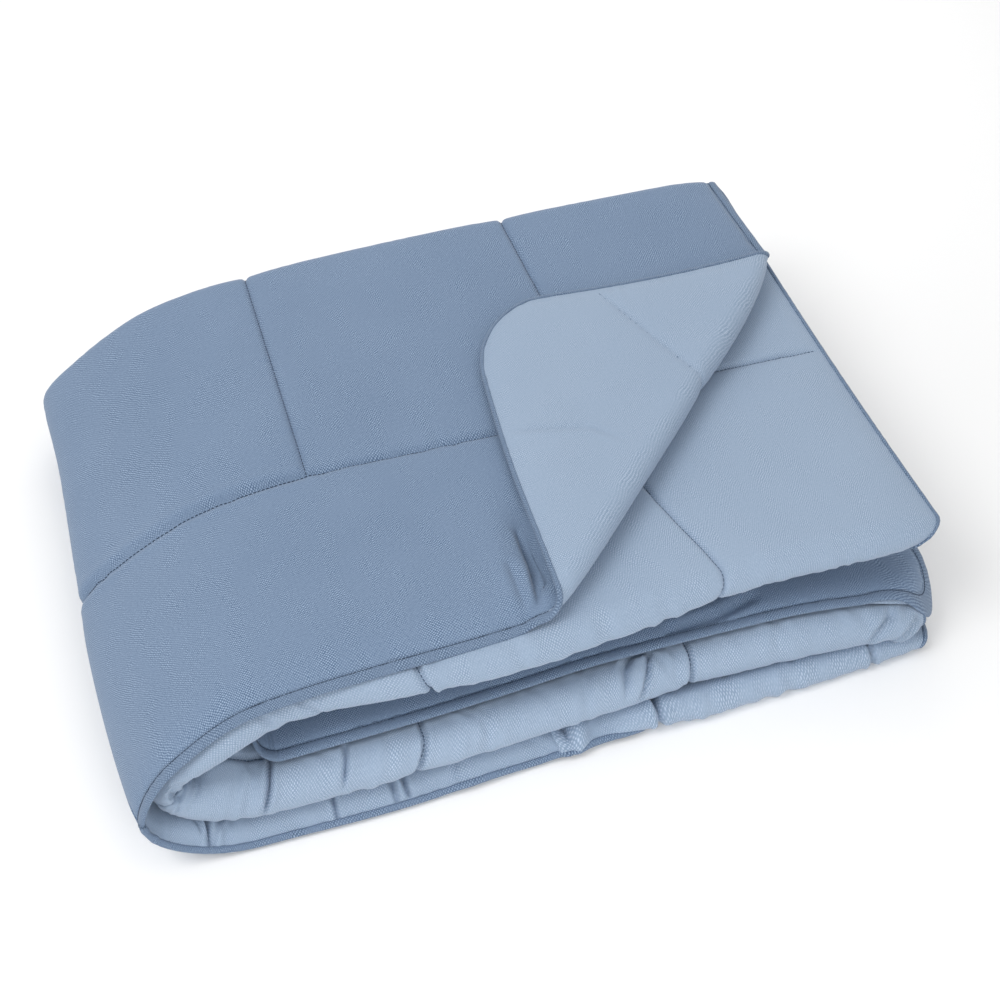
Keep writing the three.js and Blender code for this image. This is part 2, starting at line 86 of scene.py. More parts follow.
# Panels of the length, from the outside of the pack inwards, and the turns that join them
OUTERMOST = 0
INNERMOST = 3
FRONT_TURN = 1
FACE_INSIDE = (1,)  # turns with the darker face on their inside, and with the reverse there
REVERSE_INSIDE = (0, 2)
PANEL_DEPTH = np.array([HALF_FULL, 24.8, 49.0, 64.0])
PANEL_END = np.array([488.0, 986.0, 1508.0, LENGTH])
PANEL_START = np.array([0.0, 488.0, 986.0, 1508.0])
UPPER_PAST = [25.0, 5.0, -24.0, -30.0]
UPPER_BACK_PAST = [-5.0, 9.0, 0.0, 0.0]
LOWER_PAST = [20.0, 5.0, 0.0, 26.0]
NOSE_DEPTH = np.append(PANEL_DEPTH, MIDDLE_HEIGHT)
NOSE_X = [11.0, 31.0, 52.0, 124.0, 150.0]
SEWN_ALONG = np.array([230.0, 746.0, 1262.0, 1778.0])
SEWN_Y = np.array([234.0, 267.0, 258.0, 254.0])
UPPER_FRONT = ["top", "topFold", "topFold", "topInner"]
LOWER_FRONT = ["bottom", "bottomFold", "bottomFold", "bottomInner"]
INNER_PADDING = 0.75
FOLD_PADDING = 0.65
TURN_RADII = np.array([8.8, 12.1, 7.5])
TURN_FILL = 0.9
TURN_SPREAD = 0.5
TURN_BLEND = 4
TURN_START = np.append(PANEL_END[:3] - math.pi * TURN_RADII, LENGTH)

# How far each front edge or fold lies behind the front of the pack, from its left end to its right
FRONT_X = [14, 60, 130, 220, 300, 380, 510, 640, 680, 705]
FRONTS = {
    "top": [10, 10, 19, 25, 29, 35, 39, 51, 60, 66],
    "topFold": [8, 6, 20, 12, 14, 22, 35, 33, 32, 30],
    "topInner": [46, 46, 48, 50, 58, 64, 74, 76, 77, 78],
    "bottomInner": [19, 19, 19, 22, 27, 33, 33, 27, 18, 10],
    "bottomFold": [0, -2, -3, -2, 3, 8, 15, 11, 7, 16],
    "bottom": [-11, -11, -11, -11, -6, -1, 11, 15, 14, 13],
}

# Settling
UPPER_HEIGHT = 68.0
LOWER_HEIGHT = 88.0
SHARE_X = [0, 39, 69, 119, 169, 219, 330, 469, 703]
FRONT_SHARE = [0.62, 0.8, 0.87, 0.96, 0.98, 0.98, 0.98, 0.98, 1.05]
MIDDLE_SHARE = [0.56, 0.63, 0.71, 0.85, 0.94, 0.98, 0.985, 0.99, 1.0]
BACK_SHARE = [0.56, 0.64, 0.72, 0.85, 0.92, 0.96, 1.01, 1.04, 1.06]
LEFT_RUN = 210.0
FRONT_LEFT_INSET = 28.0
FRONT_LEFT_RUN = 260.0
BACK_LEFT_INSET = 12.0
LEFT_INSET_Y = [0, 60, 200, 400, 480, 520]
LEFT_INSET = [-3, 2, 6, 5, 0, -2]
RIGHT_DROOP = 0.24
RIGHT_DROOP_FROM = 560.0
RIGHT_DROOP_TO = 760.0

# Turned-back corner: the crease runs at 45 degrees and bends towards its far tip
CREASE = 322.0
CREASE_BEND = 14.0
CREASE_BEND_FROM = 625.0
CREASE_TIP = 776.0
CREASE_BEND_MOST = 1.2
CREASE_RADIUS = 8.0
CREASE_CLOTH = math.pi * CREASE_RADIUS

# Beside the turned-back corner's lower end the top panel sinks
SINK_AT = (339.0, 74.0)
SINK_REACH = (14.0, 46.0)
SINK_DEPTH = 14.0
SINK_FADE = 12.0

# Left of the innermost panel the lower front fold rises to meet the upper one
MEET_AT = (828.0, 1010.0)
MEET_REACH = (30.0, 24.0)
MEET_HEIGHT = 17.0

# The innermost panel's lower right corner is drawn forward and hangs over the ends under it
HANG_DRAW = 42.0
HANG_DRAW_X = (655.0, 735.0)
HANG_FROM = (686.0, 45.0)
HANG_TURN = 40.0
HANG_BEND = 26.0
HANG_SLOPE = 1.5

# The bottom panel's front hem curls under towards the right
TUCK_X = [0, 255, 285, 312, 345, 365, 378, 398, 425, 455, 500, 590, 640, 680, 740]
TUCK = [0, 0, 5, 3, 0, 4, 11, 4, 9, 18, 28, 32, 40, 46, 46]
TUCK_RADIUS = 4.4
TUCK_SHIFT_RUN = 320.0
TUCK_LIFT_RUN = 34.0

# Seams that lie off their straight run at the front fold, by their place across
SEAM_PLACE = [0, 230, 488, 600, 700, 800, 1004, 1262, WIDTH]
SEAM_SHIFT = [0, 40, 41, 14, 0, 4, 25, 6, 0]
SEAM_SHIFT_AT = 984.0
SEAM_SHIFT_RUN = 110.0

# Grooves of the sewn lines; the first line bends on the turned-back corner and is faint there
GROOVE_ALONG = 3.2
GROOVE_ALONG_WIDTH = 2.6
GROOVE_ACROSS = 2.8
GROOVE_ACROSS_WIDTH = 2.2
FIRST_LINE_WAVER = 0.9
FIRST_LINE_PERIOD = 52.0
FLAP_LINE = 152.0
FLAP_LINE_BEND = 76.0
FLAP_LINE_POWER = 1.1
FLAP_GROOVE = 1.7
FLAP_GROOVE_WIDTH = 2.4
FLAP_GROOVE_RUN = 60.0
FLAP_FADE = 0.75
FLAP_FADE_RUN = 45.0

# Listed creases: side of the cloth, half width, depth, places (across, along)
CREASES = [
    (-1, 2.6, 4.8, [(672, 968), (700, 972), (735, 978), (770, 976)]),
    (-1, 3.0, 4.6, [(886, 1006), (880, 984), (881, 962)]),
    (-1, 2.2, 3.6, [(945, 996), (942, 980), (942, 968)]),
    (-1, 2.2, 3.6, [(1004, 1008), (1005, 984), (1003, 958)]),
    (-1, 4.0, 1.8, [(1059, 994), (1059, 962)]),
    (-1, 4.2, 4.6, [(1226, 997), (1208, 998), (1198, 986), (1194, 970)]),
    (-1, 2.4, 4.2, [(1227, 996), (1219, 981), (1209, 964)]),
    (-1, 3.0, 1.8, [(1246, 996), (1247, 970)]),
    (-1, 2.2, 3.2, [(1262, 1006), (1262, 984), (1262, 960)]),
    (-1, 2.6, 4.2, [(1428, 962), (1444, 974), (1458, 984)]),
    (-1, 2.4, 4.0, [(1452, 958), (1466, 968), (1482, 976)]),
    (-1, 2.2, 3.2, [(488, 926), (488, 955), (486, 984)]),
    (-1, 2.6, 2.2, [(600, 940), (588, 970)]),
    (-1, 2.6, 2.6, [(570, 946), (558, 976)]),
    (-1, 5.0, 1.6, [(417, 950), (413, 975)]),
    (-1, 6.0, 1.6, [(345, 948), (338, 978)]),
    (-1, 5.0, 1.3, [(290, 950), (283, 978)]),
    (-1, 3.0, 4.6, [(838, 48), (845, 24), (848, 2)]),
    (-1, 2.6, 2.6, [(812, 38), (832, 22), (846, 6)]),
    (-1, 2.6, 2.2, [(870, 34), (858, 20), (850, 6)]),
    (-1, 2.2, 4.0, [(962, 32), (964, 4)]),
    (-1, 2.2, 3.6, [(1008, 34), (1012, 4)]),
    (-1, 2.2, 4.4, [(1017, 32), (1022, 6)]),
    (-1, 2.6, 2.4, [(1064, 34), (1062, 6)]),
    (-1, 3.0, 5.0, [(1150, 40), (1155, 20), (1156, -4)]),
    (-1, 3.0, 5.0, [(1228, 56), (1232, 32), (1232, 2)]),
    (-1, 2.6, 2.6, [(1292, 58), (1296, 34)]),
    (-1, 3.4, 2.2, [(1350, 60), (1354, 30)]),
    (-1, 3.4, 2.2, [(1374, 62), (1378, 36)]),
    (-1, 2.6, 4.0, [(1412, 66), (1424, 44), (1428, 20)]),
    (-1, 2.4, 1.7, [(159, 8), (170, 57), (175, 89), (200, 122)]),
    (1, 4.0, 3.4, [(1228, 1997), (1281, 1993), (1324, 1982)]),
    (1, 3.4, 3.4, [(345, 112), (347, 60), (352, 16)]),
    (1, 4.5, 3.0, [(470, 229), (560, 231), (650, 231), (745, 229)]),
    (1, 3.4, 2.4, [(362, 74), (362, 18)]),
]
CREASE_REACH = 4.0  # how far a crease is felt, in half widths
CREASE_SIDE = 0.42  # its raised sides, as a share of its depth
CREASE_SIDE_AT = 2.0  # and where they lie, in half widths
CREASE_SLIT = 0.75  # the sharp bottom of a deep crease, as a share of its depth
CREASE_SLIT_WIDTH = 1.1
CREASE_SLIT_FROM = 1.5  # the depth from which the bottom sharpens, and the run over which it does
CREASE_SLIT_RUN = 3.0
CREASE_DEEP = 2.0  # a deeper crease has closer columns in the mesh

# Gathers: uneven waves beside the sewn lines, the hem, the front fold and the bottom hem
GATHER_WAVERS = [(2.2, 9.7, 0.0), (1.3, 22.9, 1.0)]  # angle, run, start
GATHER_LEVEL = 0.55
GATHER_SWELL = 0.45
GATHER_SWELL_RUN = 15.4
GATHER_SWELL_START = 2.0
LINE_GATHER = (0.55, 16.0)  # height and reach, as in the next three
HEM_GATHER = (0.7, 14.0)
FRONT_GATHER = (1.1, 30.0)
BOTTOM_GATHER = (1.2, 13.0)
WIDTH_LINE_PERIOD = 19.0
WIDTH_LINE_START = 31.0  # how far the waves differ from one line to the next
LENGTH_LINE_PERIOD = 21.0
LENGTH_LINE_START = 17.0
SIDE_HEM_PERIOD = 23.0
END_HEM_PERIOD = 26.0
FRONT_PERIOD = 47.0
BOTTOM_PERIOD = 39.0
HEM_FADE = 6.0
UPPER_GATHER = 0.45  # the upper front fold's share of the lower one's gathers
UPPER_GATHER_UNTIL = (680.0, 780.0)
RUMPLE = 0.75  # height of the slanting waves on the front folds and the bottom hem
RUMPLES = [(1.0, 1.1, 37.0), (0.7, -0.8, 29.0)]  # share of the height, slant, period
FRONT_FOLD_AT = 980.0
BOTTOM_BULGE = 5.4
BOTTOM_BULGE_AT = 20.0
BOTTOM_FROM = (760.0, 830.0)

# Binding: its section, as shares of half its width (outwards) and of half its thickness
BINDING_SECTION = [
    (-1.05, 0.12), (-1.05, 0.66), (-0.88, 0.76), (-0.7, 0.6), (-0.5, 0.86), (-0.1, 1.0), (0.35, 0.94),
    (0.72, 0.72), (0.94, 0.36), (1.0, 0.0), (0.94, -0.36), (0.74, -0.72), (0.46, -0.96), (0.16, -0.96),
    (0.05, -0.7), (0.05, 0.12),
]
BINDING_STEP = 3.0
BINDING_SEAM = -0.7  # share of the binding's half width where its stitches lie
BINDING_SEAM_HEIGHT = 0.6
BINDING_GATHER = 0.16
BINDING_PERIOD = 15.0

# Thread: a stitch is a short rod with three sides that dips into the cloth at both ends
STITCH_PITCH = 3.6
HEM_STITCH_PITCH = 0.85 * STITCH_PITCH
STITCH_HALF = 1.65
THREAD_RADIUS = 0.52
THREAD_SIDES = 3
STITCH_STATIONS = [(-1.0, -1.0), (-0.6, 0.5), (0.6, 0.5), (1.0, -1.0)]  # half lengths, lift in radii
STITCH_FACES = [
    (0, 2, 1), (0, 3, 2), (0, 1, 3), (7, 4, 5), (7, 5, 6), (7, 6, 4),
    (1, 2, 5), (1, 5, 4), (2, 3, 6), (2, 6, 5), (3, 1, 4), (3, 4, 6),
]

# Meshes of the panels: blocks of rows, each with (from, to), its row steps and its column steps
GRADED_SAMPLES = 8001
LINE_STEP = 0.9
LINE_GROWTH = 0.4
FACE_BLOCKS = [
    (0, 362, [(10, 3.0), (362, 3.6)], [(10, 3.4), (370, 3.4), (400, 4.5), (740, 5), (900, 8), (1000, 14)]),
    (362, 492, [(362, 5), (440, 6), (458, 2.6)], [(10, 6), (740, 6), (900, 8), (1000, 16)]),
    (492, 1470, [(492, 8), (530, 20)], [(10, 16)]),
    (1470, 1522, [(1470, 5), (1482, 2.6), (1510, 2.6)], [(10, 10)]),
    (1522, 1860, [(1522, 16)], [(10, 16)]),
    (1860, LENGTH, [(1860, 10), (1900, 4), (1998, 3)], [(10, 12), (720, 12), (760, 5), (1482, 3.6)]),
]
REVERSE_BLOCKS = [
    (0, 122, [(10, 2.6), (122, 4)], [(10, 3.4), (370, 3.4), (400, 12), (730, 10), (770, 3), (1482, 2.8)]),
    (122, 400, [(122, 3.6)], [(10, 3.4), (390, 3.4), (430, 14), (1482, 16)]),
    (400, 600, [(400, 12)], [(10, 14)]),
    (600, 925, [(600, 8), (925, 7)], [(10, 6), (330, 6), (370, 14), (1482, 16)]),
    (925, 1064, [(925, 4), (950, 2.8), (1040, 3)], [(10, 5), (660, 5), (680, 3), (1482, 2.8)]),
    (1064, LENGTH, [(1064, 20), (1900, 20), (1998, 5)], [(10, 18)]),
]
INNER_TABLE = [
    (0, LENGTH, [(10, 8), (40, 14), (440, 14), (455, 7), (490, 7), (540, 20), (1460, 20)], [(10, 14)]),
]
SHARP_ANGLE = math.radians(70)

# Materials: a noise is its scale per metre and its detail, a tone is a share of dark to light
WEAVE_PERIOD = 0.0023  # of a thread over and under
SLOW_WAVER = (30, 0.006)  # scale and reach of the bends in the weave
QUICK_WAVER = (300, 0.0016)
WAVER_DETAIL = 1
WEAVE_RANGE = (-0.15, 0.9)
WEAVE_TONES = (-0.35, 1.0)
SLUB_STRETCH = (1.0, 0.4, 1.0)
SLUB_NOISE = (62, 2)
SLUB_RANGE = (0.36, 0.62)
SLUB_TONES = (0.2, 1.0)
GRAIN_NOISE = (520, 2)
GRAIN_TONE = 0.55
GRAIN_HEIGHT = 0.8
BROAD_NOISE = (9, 3)
BROAD_TONE = 0.2
NOISE_MIDDLE = 0.5
MIDDLE_TONE = 0.5
CLOTH_BUMP = (0.22, 0.0006)  # strength and distance
CLOTH_FINISH = {
    "Roughness": 0.88,
    "Specular IOR Level": 0.25,
    "Sheen Weight": 0.2,
    "Sheen Roughness": 0.45,
}
FIBRE_NOISE = (2600, 2)
FIBRE_TONE = 0.8
STITCH_NOISE = (160, 1)
STITCH_TONE = 0.6
THREAD_TONE = 0.2
THREAD_BUMP = (0.3, 0.0002)
THREAD_FINISH = {"Roughness": 0.7}
FLOOR_FINISH = {"Base Color": (0.95, 0.95, 0.95, 1), "Roughness": 1.0}
FACE_COLOURS = ((0.095, 0.151, 0.245), (0.250, 0.335, 0.468))
REVERSE_COLOURS = ((0.216, 0.297, 0.412), (0.380, 0.467, 0.592))
# The binding is the face cloth with its colours 0.86 times darker: painted shade for the shade on the
# binding where it turns under at the bottom
SHADED_BINDING_COLOURS = ((0.082, 0.130, 0.211), (0.215, 0.288, 0.402))
# The threads' colours are partly the thread's own colour and partly painted shade: they are made far
# darker than their cloth to stand for the shadow in the grooves of the sewn lines
FACE_THREAD_AND_SHADE_COLOURS = ((0.025, 0.044, 0.077), (0.048, 0.081, 0.134))
REVERSE_THREAD_AND_SHADE_COLOURS = ((0.054, 0.088, 0.142), (0.097, 0.153, 0.239))
FACE_WEAVE = 1.3  # share of the weave in the tone
REVERSE_WEAVE = 1.05

# Floor, light and camera, in metres
FLOOR_REACH = 6
WORLD_STRENGTH = 0.745
LIGHTS = [  # name, place, target, size, power, spread in degrees
    ("key", (-1.3, -0.4, 2.0), (0, 0, 0.1), 1.2, 20, 180),
    ("front", (0.3, -2.2, 0.8), (0, -0.2, 0.08), 1.4, 5.5, 180),
    ("floor_front", (0.1, -1.35, 0.75), (0, -0.75, 0), 0.8, 0.7, 40),
    ("floor_back", (0.3, 1.6, 1.2), (0.3, 0.9, 0), 1.2, 2.5, 90),
]
CAMERA_PLACE = (-0.2458, -0.8688, 1.035)
CAMERA_AZIMUTH = math.radians(17.0)
CAMERA_PITCH = math.radians(47.5)
SENSOR_WIDTH = 36.0  # in millimetres, as the lens is
LENS_SHARE = 1.464


def mix(a, b, share):
    return a + (b - a) * share


def smooth(value, start, stop):
    t = np.clip((value - start) / (stop - start), 0, 1)
    return t * t * (3 - 2 * t)


def bell(distance, width):
    return np.exp(-((distance / width) ** 2))


def mound(across, along, at, reach):
    """A soft hill, 1 at its top."""
    return np.exp(-(((across - at[0]) / reach[0]) ** 2) - ((along - at[1]) / reach[1]) ** 2)


def table_curve(xs, ys, x):
    """A smooth curve through a table's points, level beyond its ends."""
    xs = np.asarray(xs, float)
    ys = np.asarray(ys, float)
    before = np.maximum(np.arange(len(xs)) - 1, 0)
    after = np.minimum(np.arange(len(xs)) + 1, len(xs) - 1)
    slopes = (ys[after] - ys[before]) / (xs[after] - xs[before])
    x = np.clip(x, xs[0], xs[-1])
    i = np.clip(np.searchsorted(xs, x, side="right") - 1, 0, len(xs) - 2)
    span = xs[i + 1] - xs[i]
    t = (x - xs[i]) / span
    t2 = t * t
    t3 = t2 * t
    return (
        (2 * t3 - 3 * t2 + 1) * ys[i]
        + (t3 - 2 * t2 + t) * span * slopes[i]
        + (3 * t2 - 2 * t3) * ys[i + 1]
        + (t3 - t2) * span * slopes[i + 1]
    )


def height_share(x, y):
    t = np.clip(y / PACK_DEPTH, 0, 1)
    front = table_curve(SHARE_X, FRONT_SHARE, x)
    middle = table_curve(SHARE_X, MIDDLE_SHARE, x)
    back = table_curve(SHARE_X, BACK_SHARE, x)
    return front * (2 * t - 1) * (t - 1) + middle * 4 * t * (1 - t) + back * t * (2 * t - 1)


def fold_angle(across):
    """Angle round the half fold, from a quarter turn on the upper half to minus that on the lower."""
    under = WIDTH - FOLD_START
    turn = np.where(
        across < FOLD_NOSE,
        (across - FOLD_START) / (FOLD_NOSE - FOLD_START),
        1 + (across - FOLD_NOSE) / (under - FOLD_NOSE),
    )
    return (math.pi / 2) * (1 - np.clip(turn, 0, 2))


def panel_number(along):
    return np.minimum(np.searchsorted(PANEL_END + PLACE_SLACK, along, side="left"), INNERMOST)


def fold_size(depth):
    """Where the half fold of a layer starts, and how far it reaches from there to its nose."""
    start = FOLD_REACH + FOLD_SLACK * (depth / MIDDLE_HEIGHT) ** 2
    return start, start - table_curve(NOSE_DEPTH, NOSE_X, depth)


def across_to_x(across, angle, depth, y):
    upper = (1 + np.sin(angle)) / 2
    low = np.interp(depth, PANEL_DEPTH, LOWER_PAST)
    high = np.interp(depth, PANEL_DEPTH, UPPER_PAST)
    high_back = np.interp(depth, PANEL_DEPTH, UPPER_BACK_PAST)
    past = mix(mix(low, high, upper), high_back * upper, y / PACK_DEPTH)
    start, reach = fold_size(depth)
    share = 1 - np.minimum(np.minimum(across, WIDTH - across), FOLD_START) / FOLD_START
    return mix(start, PACK_LENGTH + past, share) - reach * np.cos(angle)


def layer_section(across, along):
    """Distance from the front and depth below the pack's outside, of the back-and-forth fold."""
    angle = fold_angle(across)
    upper = (1 + np.sin(angle)) / 2
    k = panel_number(along)
    x = across_to_x(across, angle, HALF_FULL, PACK_DEPTH)
    curves = {name: table_curve(FRONT_X, column, x) for name, column in FRONTS.items()}
    high = np.choose(k, [curves[name] for name in UPPER_FRONT])
    low = np.choose(k, [curves[name] for name in LOWER_FRONT])
    joined = (k == FRONT_TURN) | (k == FRONT_TURN + 1)
    front_turn = np.where(joined, HALF_FULL + TURN_RADII[FRONT_TURN], 0.0)
    front = mix(low, high, upper) + front_turn
    back = PACK_DEPTH - HALF_FULL - TURN_RADII[0]
    goes_back = k % 2 == 0
    begin = np.where(goes_back, front, back)
    stop = np.where(goes_back, back, front)
    before_line = mix(begin, SEWN_Y[k], (along - PANEL_START[k]) / (SEWN_ALONG[k] - PANEL_START[k]))
    after_line = mix(SEWN_Y[k], stop, (along - SEWN_ALONG[k]) / (TURN_START[k] - SEWN_ALONG[k]))
    flat_y = np.where(along < SEWN_ALONG[k], before_line, after_line)
    radius = TURN_RADII[np.minimum(k, len(TURN_RADII) - 1)]
    turned = np.maximum(along - TURN_START[k], 0) / radius
    bulge = radius * np.sin(turned)
    in_turn = along > TURN_START[k]
    y = np.where(in_turn, np.where(goes_back, back + bulge, front - bulge), flat_y)
    depth = PANEL_DEPTH[k] + np.where(in_turn, radius * (1 - np.cos(turned)), 0.0)
    return y, depth, k, angle


def past_crease(x, y):
    """Distance beyond the turned-back corner's crease."""
    far = ((x + y) / math.sqrt(2) - CREASE_BEND_FROM) / (CREASE_TIP - CREASE_BEND_FROM)
    return (x - y - CREASE) / math.sqrt(2) + CREASE_BEND * np.clip(far, 0, CREASE_BEND_MOST) ** 2


def turn_back(x, y):
    """Rolls what is beyond the crease back over its own panel."""
    past = np.maximum(past_crease(x, y), 0)
    angle = np.minimum(past / CREASE_RADIUS, math.pi)
    reach = CREASE_RADIUS * np.sin(angle) - np.maximum(past - CREASE_CLOTH, 0)
    shift = (reach - past) / math.sqrt(2)
    return x + shift, y - shift, CREASE_RADIUS * (1 - np.cos(angle))


def hang_down(x, y):
    """Draws the corner forward and lets it bend down over the ends of the layers below."""
    turn = math.radians(HANG_TURN)
    drawn = y - HANG_DRAW * smooth(x, *HANG_DRAW_X)
    past = (x - HANG_FROM[0]) * math.cos(turn) - (drawn - HANG_FROM[1]) * math.sin(turn)
    past = np.maximum(past, 0)
    bent = np.where(past < HANG_BEND, past**2 / (2 * HANG_BEND), past - HANG_BEND / 2)
    return drawn, HANG_SLOPE * bent


def tuck_under(x, y, along):
    """Curls the bottom hem under, keeping the front of the curl where the hem's edge would be."""
    tuck = table_curve(TUCK_X, TUCK, x)
    beyond = np.maximum(tuck - along, 0)
    curl = np.minimum(beyond / TUCK_RADIUS, math.pi)
    most = np.minimum(tuck / TUCK_RADIUS, math.pi)
    under = beyond - TUCK_RADIUS * np.sin(curl) + np.maximum(beyond - math.pi * TUCK_RADIUS, 0)
    shift = tuck - TUCK_RADIUS * np.sin(np.minimum(most, math.pi / 2))
    lift = TUCK_RADIUS * (1 - np.cos(most))
    moved = under - shift * (1 - smooth(along, tuck, tuck + TUCK_SHIFT_RUN))
    raised = lift * (1 - smooth(along, tuck, tuck + TUCK_LIFT_RUN))
    return y + moved, raised - TUCK_RADIUS * (1 - np.cos(curl))


def settle(x, y, z):
    left = np.clip(1 - x / LEFT_RUN, 0, 1) ** 2
    near_front = np.clip(1 - y / FRONT_LEFT_RUN, 0, 1) ** 2
    near_back = np.clip(y / PACK_DEPTH, 0, 1) ** 4
    over = (z - MIDDLE_HEIGHT) / MIDDLE_HEIGHT
    droop = 1 - RIGHT_DROOP * smooth(x, RIGHT_DROOP_FROM, RIGHT_DROOP_TO)
    base = np.where(over > 0, LOWER_HEIGHT + UPPER_HEIGHT * over, LOWER_HEIGHT * (1 + over) * droop)
    return np.stack(
        [
            x + left * (FRONT_LEFT_INSET * near_front + table_curve(LEFT_INSET_Y, LEFT_INSET, y)),
            y - BACK_LEFT_INSET * left * near_back,
            base * height_share(x, y),
        ],
        axis=-1,
    )


def layer_place(x, y, depth, angle):
    return settle(x, y, MIDDLE_HEIGHT + (MIDDLE_HEIGHT - depth) * np.sin(angle))


def cloth_point(across, along):
    """Middle of the cloth at a place of the flat quilt, in the settled pack."""
    y, depth, k, angle = layer_section(across, along)
    x = across_to_x(across, angle, depth, y)
    x = x + table_curve(SEAM_PLACE, SEAM_SHIFT, across) * bell(along - SEAM_SHIFT_AT, SEAM_SHIFT_RUN)
    before_crease = smooth(-past_crease(x, y), 0, SINK_FADE)
    rolled_x, rolled_y, rolled_lift = turn_back(x, y)
    rolls = (k == OUTERMOST) & (across < FOLD_START)
    x = np.where(rolls, rolled_x, x)
    y = np.where(rolls, rolled_y, y)
    lift = np.where(rolls, rolled_lift, 0.0)
    hung_y, drop = hang_down(x, y)
    hangs = (k == INNERMOST) & (angle < 0)
    y = np.where(hangs, hung_y, y)
    lift = np.where(hangs, lift - drop, lift)
    tucked_y, tucked_lift = tuck_under(x, y, along)
    tucks = (k == OUTERMOST) & (angle < 0)
    y = np.where(tucks, tucked_y, y)
    lift = np.where(tucks, tucked_lift, lift)
    point = layer_place(x, y, depth, angle)
    from_edge = np.minimum(np.minimum(along, LENGTH - along), np.minimum(across, WIDTH - across))
    droop = EDGE_DROOP * np.clip(1 - from_edge / EDGE_DROOP_RUN, 0, 1) ** 2
    hangs_over = np.where((k == OUTERMOST) & (angle > 0), before_crease, 0.0)
    hem_droop = HEM_DROOP * np.clip(1 - along / HEM_DROOP_RUN, 0, 1) ** 2
    sink = SINK_DEPTH * mound(across, along, SINK_AT, SINK_REACH)
    meet = MEET_HEIGHT * mound(across, along, MEET_AT, MEET_REACH)
    point[..., 2] += lift + meet - droop - hangs_over * (hem_droop + sink)
    return point


def unit(vectors):
    return vectors / np.maximum(np.linalg.norm(vectors, axis=-1, keepdims=True), SHORTEST)


def press_share(across, along):
    """Share of the full distance between layers that is left where the pack has settled."""
    y, depth, _, angle = layer_section(across, along)

    def at(u, v, sunk):
        turn = fold_angle(u)
        return layer_place(across_to_x(u, turn, depth + sunk, v), v, depth + sunk, turn)

    here = at(across, y, 0)
    by_across = at(across + 1, y, 0) - here
    by_y = at(across, y + 1, 0) - here
    down = at(across, y, 1) - here
    turning = np.cos(angle) ** 2 * smooth(depth, PANEL_DEPTH[1], PANEL_DEPTH[2])
    pressed = mix(1, INNER_PADDING, smooth(depth, PANEL_DEPTH[2], PANEL_DEPTH[3]))
    pressed = pressed * mix(1, FOLD_PADDING, turning)
    spacing = np.abs((down * unit(np.cross(by_y, by_across))).sum(-1))
    return pressed * np.minimum(spacing, LOWER_HEIGHT / MIDDLE_HEIGHT)


def fold_radius(across, along):
    """Radius of the half fold's bend at a place of a layer."""
    y, depth, _, angle = layer_section(across, along)
    reach = fold_size(depth)[1]
    tall = (MIDDLE_HEIGHT - depth) * height_share(across_to_x(across, angle, depth, y), y)
    return np.hypot(reach * np.sin(angle), tall * np.cos(angle)) ** 3 / (reach * tall)


def face_normal(across, along):
    """Direction from the middle of the cloth towards its darker face."""

    def beside(u, v):
        return cloth_point(np.clip(u, 0, WIDTH), np.clip(v, 0, LENGTH))

    by_across = beside(across + NORMAL_STEP, along) - beside(across - NORMAL_STEP, along)
    by_along = beside(across, along + NORMAL_STEP) - beside(across, along - NORMAL_STEP)
    return unit(np.cross(by_along, by_across))


def rise(distance):
    left = 1 - np.clip(distance / RISE, 0, 1)
    return np.sqrt(1 - left * left)


def from_line(at, lines):
    return np.min([np.abs(at - line) for line in lines], axis=0)


def first_line(across):
    """Where the first line sewn over the width lies: it bends on the turned-back corner."""
    bend = FLAP_LINE_BEND * np.clip(1 - across / FLAP_LINE, 0, 1) ** FLAP_LINE_POWER
    return LINES_ALONG[0] - bend + FIRST_LINE_WAVER * gather(across, FIRST_LINE_PERIOD)


def line_distances(across, along):
    """Distances from the nearest line sewn along the length and from the nearest over the width."""
    sewn = (along > LINES_ALONG[0]) & (along < LINES_ALONG[-1])
    line_across = np.where(sewn, from_line(across, LINES_ACROSS), CELL)
    line_along = np.minimum(np.abs(along - first_line(across)), from_line(along, LINES_ALONG[1:]))
    return line_across, line_along


def edge_distance(across, along):
    """Distance from the quilt's edge with its rounded corners, up to their radius."""
    by_side = np.maximum(CORNER_RADIUS - np.minimum(across, WIDTH - across), 0)
    by_end = np.maximum(CORNER_RADIUS - np.minimum(along, LENGTH - along), 0)
    return CORNER_RADIUS - np.hypot(by_side, by_end)


def half_thickness(across, along):
    """Padding from the middle of the cloth to one face: thin at sewn lines and edges."""
    line_across, line_along = line_distances(across, along)
    quilted = rise(line_across) * rise(line_along)
    edged = rise(edge_distance(across, along) - BINDING_WIDTH)
    on_flap = (across < FLAP_LINE) & (along < LINES_ALONG[0] + RISE)
    flap_share = np.where(on_flap, 1 - smooth(across, FLAP_LINE - FLAP_GROOVE_RUN, FLAP_LINE), 0.0)
    deep = mix(GROOVE_ALONG, FLAP_GROOVE, flap_share)
    deep = deep * (1 - FLAP_FADE * bell(across - FLAP_LINE, FLAP_FADE_RUN))
    wide = mix(GROOVE_ALONG_WIDTH, FLAP_GROOVE_WIDTH, flap_share)
    over_across = GROOVE_ACROSS * bell(line_across, GROOVE_ACROSS_WIDTH)
    seam = np.maximum(over_across, deep * bell(line_along, wide))
    return mix(HALF_EDGE, mix(HALF_SEAM, HALF_FULL, quilted), edged) - seam * edged


